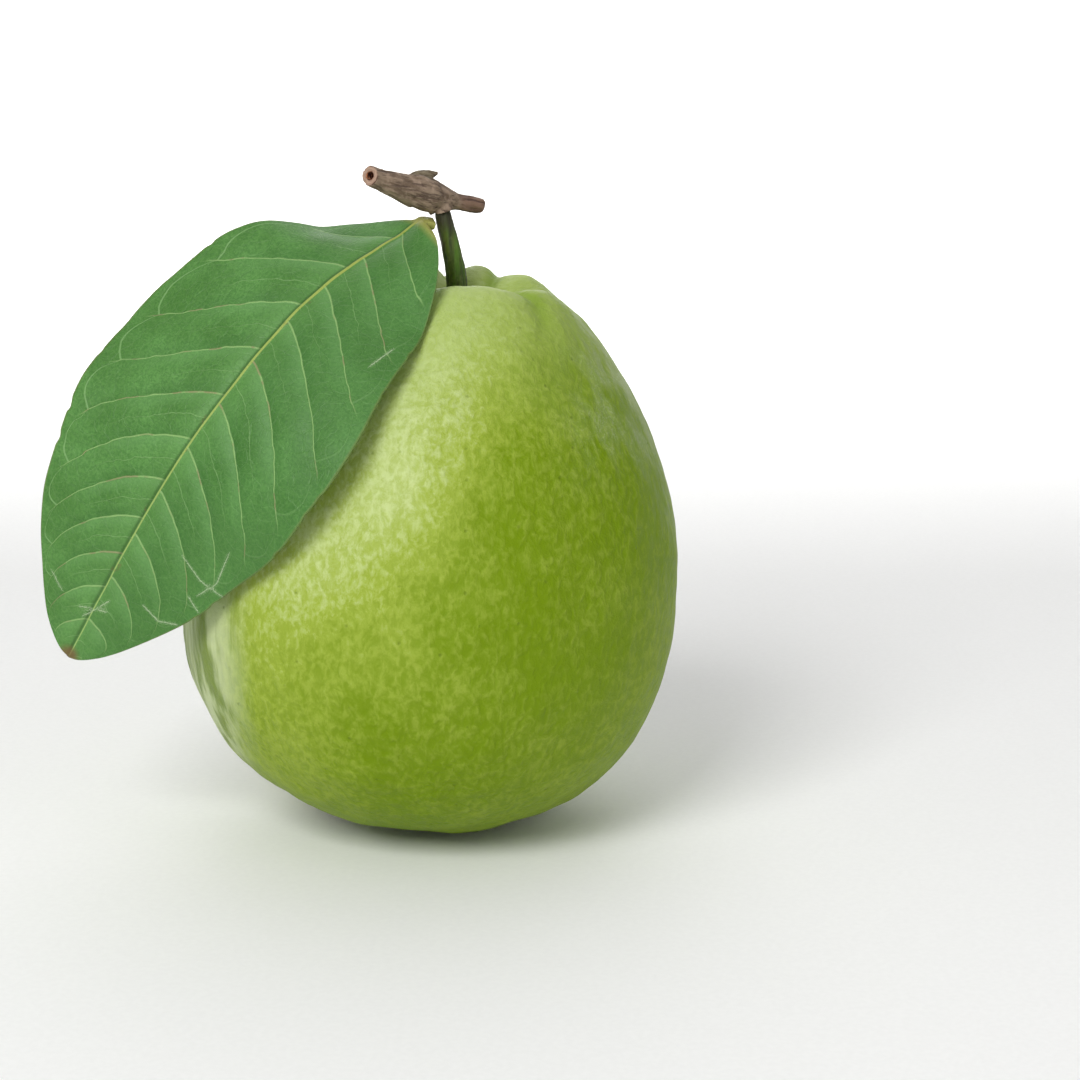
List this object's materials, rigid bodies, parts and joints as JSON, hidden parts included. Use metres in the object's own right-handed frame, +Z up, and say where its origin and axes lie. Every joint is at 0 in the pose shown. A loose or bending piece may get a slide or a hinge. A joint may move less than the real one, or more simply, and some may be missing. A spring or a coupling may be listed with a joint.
{
  "type": "guava",
  "caption": "Whole pear-shaped guava standing on its blossom end, with its stalk, a cut piece of twig and a leaf that droops over the fruit's front left side.",
  "frame": {"origin": "middle of the small flat spot that the fruit stands on, at its blossom end", "axes": "+Z up, +X to the right and -Y to the front, the side that the leaf hangs over"},
  "size_m": [0.1205, 0.0945, 0.1289],
  "materials": {
    "guava_skin": "fresh fruit skin, satin, finely pebbled",
    "calyx_dry": "dry and crusty, matt",
    "stalk_green": "green bark, satin",
    "twig_bark": "thin bark, matt",
    "leaf_green": "fresh leaf, satin"
  },
  "bodies": {
    "root": {"fruit": "guava_skin", "calyx": "calyx_dry", "stalk": "stalk_green", "twig": "twig_bark", "leaf": "leaf_green"}
  },
  "joints": []
}
